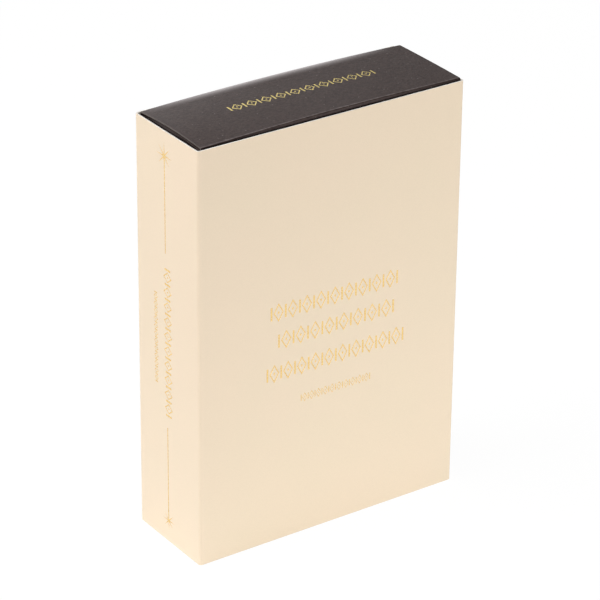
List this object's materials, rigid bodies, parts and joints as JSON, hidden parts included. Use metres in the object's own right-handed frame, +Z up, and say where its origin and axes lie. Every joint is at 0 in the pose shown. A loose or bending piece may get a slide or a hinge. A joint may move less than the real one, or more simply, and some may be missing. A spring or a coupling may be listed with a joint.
{
  "type": "matchbox",
  "caption": "Slide-open box of long matches: a pearly card sleeve with a striking strip, a folded dark card tray that slides out of either end, and matches standing in the tray.",
  "frame": {"origin": "under the middle of the box, on the surface that it stands on", "axes": "+Z up along the box's length and the tray's slide, -Y out of the broad front, -X out of the narrow side with the ornament"},
  "size_m": [0.0761, 0.027, 0.1114],
  "materials": {
    "sleeve_card": "cream card with a soft pearl sheen and thin gold foil ornament",
    "striking_coat": "rough, gritty dark brown friction coat",
    "tray_card": "uncoated charcoal brown card with a fine fibre and thin gold foil ornament",
    "match_wood": "pale straight-grained splint with a matte dipped head"
  },
  "bodies": {
    "sleeve": {"sleeve": "sleeve_card", "striking_strip": "striking_coat"},
    "tray": {"tray": "tray_card", "match_01": "match_wood", "match_02": "match_wood", "match_03": "match_wood", "match_04": "match_wood", "match_05": "match_wood", "match_06": "match_wood", "match_07": "match_wood", "match_08": "match_wood", "match_09": "match_wood", "match_10": "match_wood", "match_11": "match_wood", "match_12": "match_wood", "match_13": "match_wood", "match_14": "match_wood", "match_15": "match_wood", "match_16": "match_wood", "match_17": "match_wood", "match_18": "match_wood", "match_19": "match_wood", "match_20": "match_wood", "match_21": "match_wood", "match_22": "match_wood", "match_23": "match_wood", "match_24": "match_wood", "match_25": "match_wood", "match_26": "match_wood", "match_27": "match_wood", "match_28": "match_wood", "match_29": "match_wood", "match_30": "match_wood", "match_31": "match_wood", "match_32": "match_wood", "match_33": "match_wood", "match_34": "match_wood", "match_35": "match_wood", "match_36": "match_wood", "match_37": "match_wood", "match_38": "match_wood", "match_39": "match_wood", "match_40": "match_wood", "match_41": "match_wood", "match_42": "match_wood", "match_43": "match_wood", "match_44": "match_wood", "match_45": "match_wood", "match_46": "match_wood", "match_47": "match_wood", "match_48": "match_wood", "match_49": "match_wood", "match_50": "match_wood", "match_51": "match_wood", "match_52": "match_wood", "match_53": "match_wood", "match_54": "match_wood", "match_55": "match_wood", "match_56": "match_wood"}
  },
  "joints": [
    {"name": "tray_slide", "type": "slide", "parent": "sleeve", "child": "tray", "axis": [0, 0, 1], "range_m": [-0.113, 0.113]}
  ]
}
